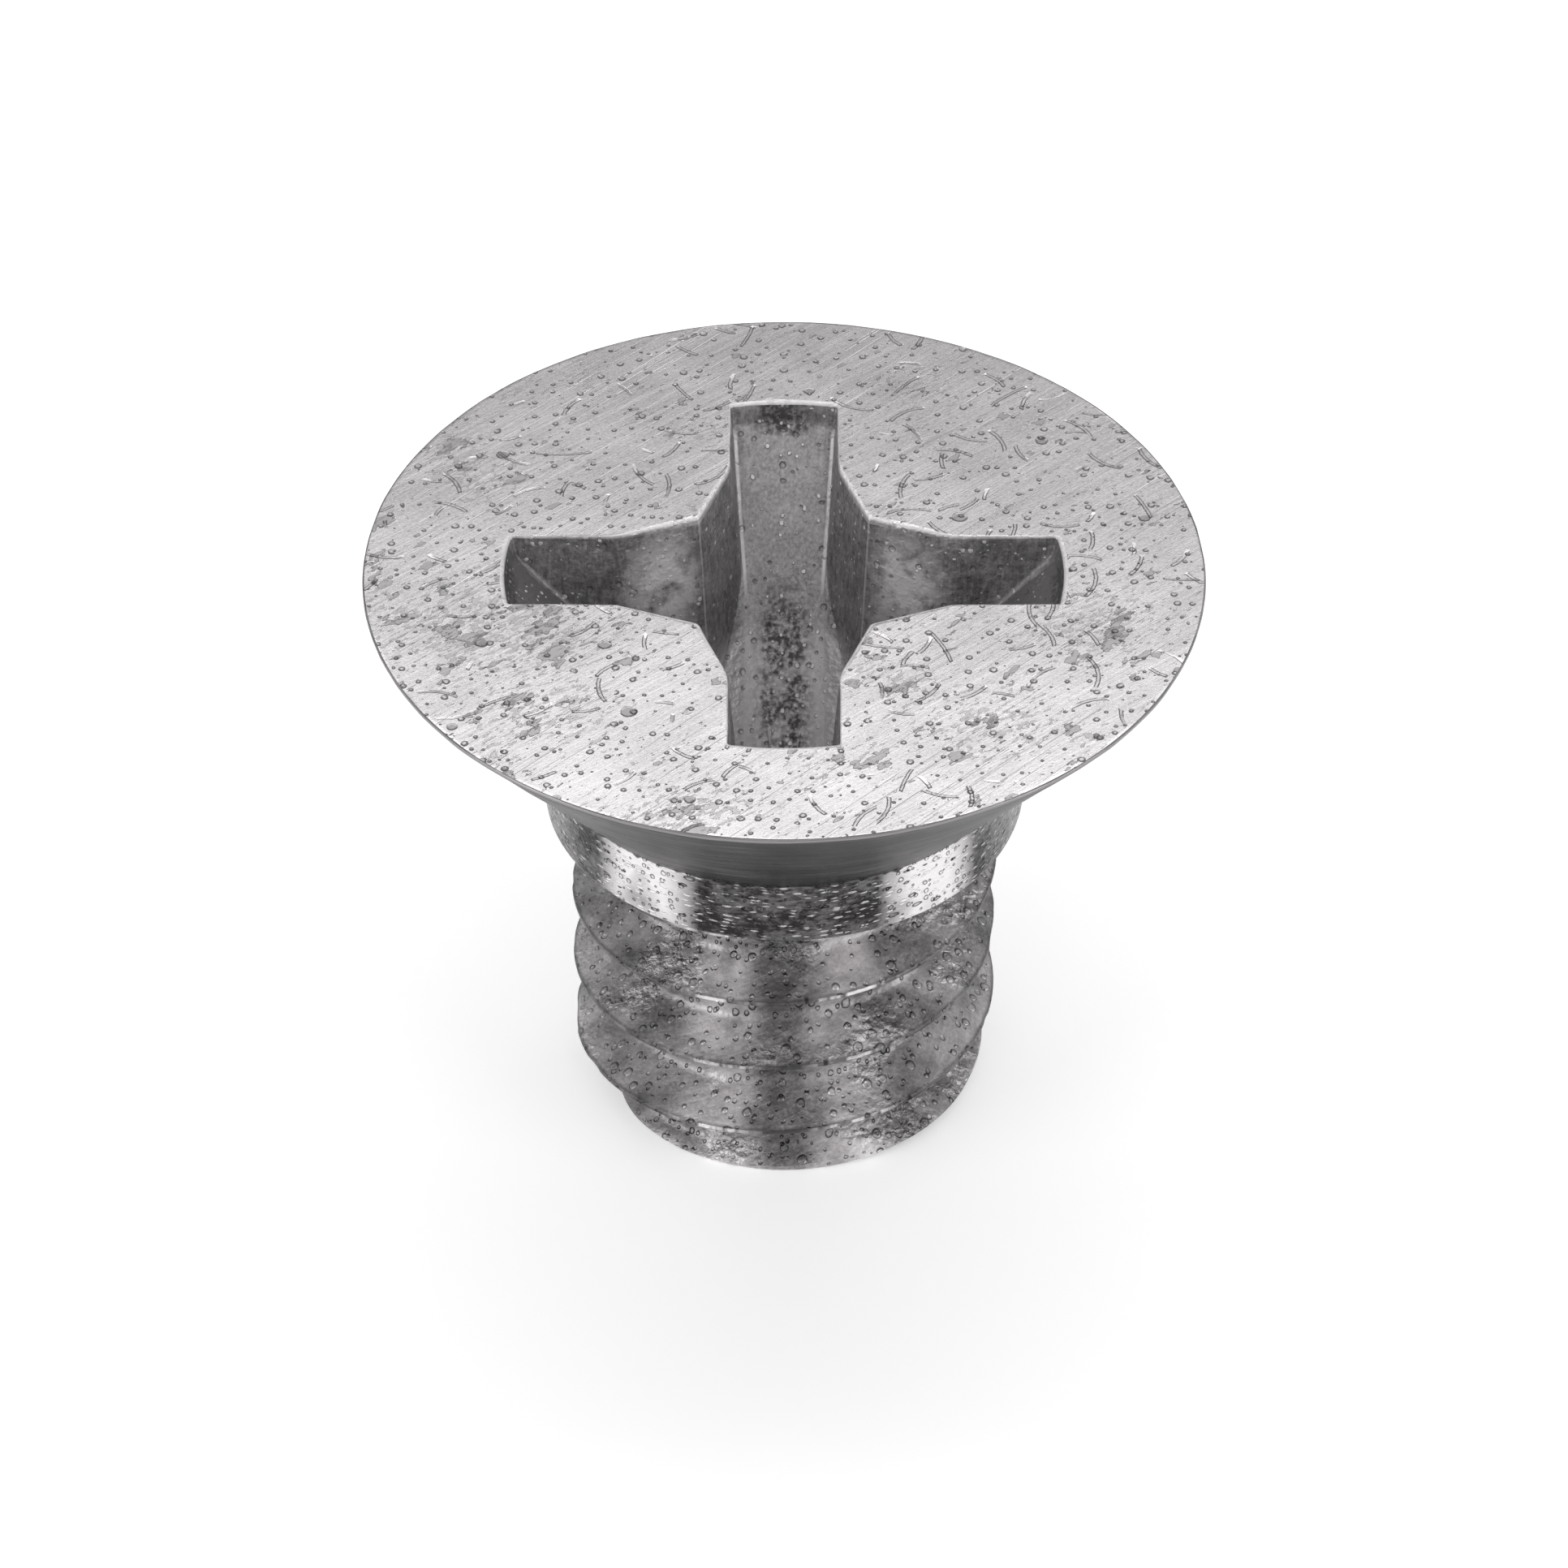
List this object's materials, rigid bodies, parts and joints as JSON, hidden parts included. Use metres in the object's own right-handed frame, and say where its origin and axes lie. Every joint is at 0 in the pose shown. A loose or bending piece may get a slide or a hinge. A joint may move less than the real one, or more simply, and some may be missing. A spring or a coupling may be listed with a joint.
{
  "type": "flat head machine screw",
  "caption": "Short countersunk machine screw with a cross recess, a plain shoulder under the head and a coarse thread down to a flat chamfered end, in worn grey steel.",
  "frame": {"origin": "centre of the flat end face of the shank, on the screw's axis", "axes": "+Z along the screw's axis, from the end face up to the flat of the head; X and Y along the wings of the cross recess"},
  "size_m": [0.0122, 0.0122, 0.0093],
  "materials": {
    "steel": "worn, brushed bare steel with fine scratches, small pits and grey blotches; darker in the recess and under the head"
  },
  "bodies": {
    "root": {"screw": "steel"}
  },
  "joints": []
}
